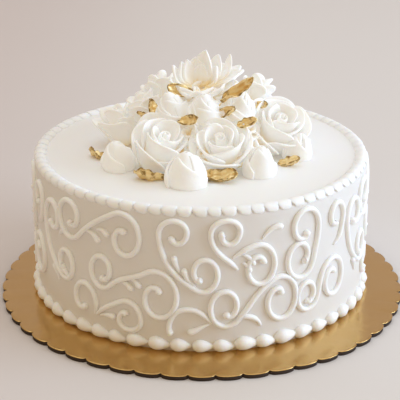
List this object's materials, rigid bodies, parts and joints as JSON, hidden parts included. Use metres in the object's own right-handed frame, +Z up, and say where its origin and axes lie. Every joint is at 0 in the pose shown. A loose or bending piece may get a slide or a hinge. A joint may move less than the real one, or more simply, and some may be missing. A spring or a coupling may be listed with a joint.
{
  "type": "decorated cake on a scalloped cake board",
  "caption": "Round iced layer cake with piped scrolls, pearl borders and a mound of piped flowers, standing on a thin scalloped gold cake board.",
  "frame": {"origin": "middle of the cake board's underside, on the surface it stands on", "axes": "+Z up, -Y towards the front that the picture shows, +X to the right of it"},
  "size_m": [0.3042, 0.3044, 0.1829],
  "materials": {
    "icing": "smooth soft buttercream with a faint sheen",
    "petal": "piped buttercream petals, smooth, with warmer depths",
    "gilding": "crumpled gold leaf on piped leaves",
    "board_foil": "gold foil laminated to card, half glossy, dark cut edge"
  },
  "bodies": {
    "root": {"blossom_left": "petal", "blossom_right": "petal", "blossom_top": "petal", "board": "board_foil", "bottom_border": "icing", "bud_back_left": "petal", "bud_back_right": "petal", "bud_far_left": "petal", "bud_front": "petal", "bud_front_right": "petal", "bud_right": "petal", "bud_upper": "petal", "bud_upper_back": "petal", "bud_upper_back_right": "petal", "bud_upper_left": "petal", "bud_upper_right": "petal", "cake": "icing", "flower_mound": "icing", "leaf_back": "gilding", "leaf_back_left": "gilding", "leaf_far_left": "gilding", "leaf_front": "gilding", "leaf_front_left": "gilding", "leaf_left_high": "gilding", "leaf_left_low": "gilding", "leaf_middle": "gilding", "leaf_right": "gilding", "leaf_right_high": "gilding", "leaf_twisted": "gilding", "leaf_under_blossom": "gilding", "leaf_upper_middle": "gilding", "leaf_upper_right": "gilding", "rose_back": "petal", "rose_back_left": "petal", "rose_back_right": "petal", "rose_far_left": "petal", "rose_front_left": "petal", "rose_front_right": "petal", "rose_left": "petal", "rose_right": "petal", "top_border": "icing"}
  },
  "joints": []
}
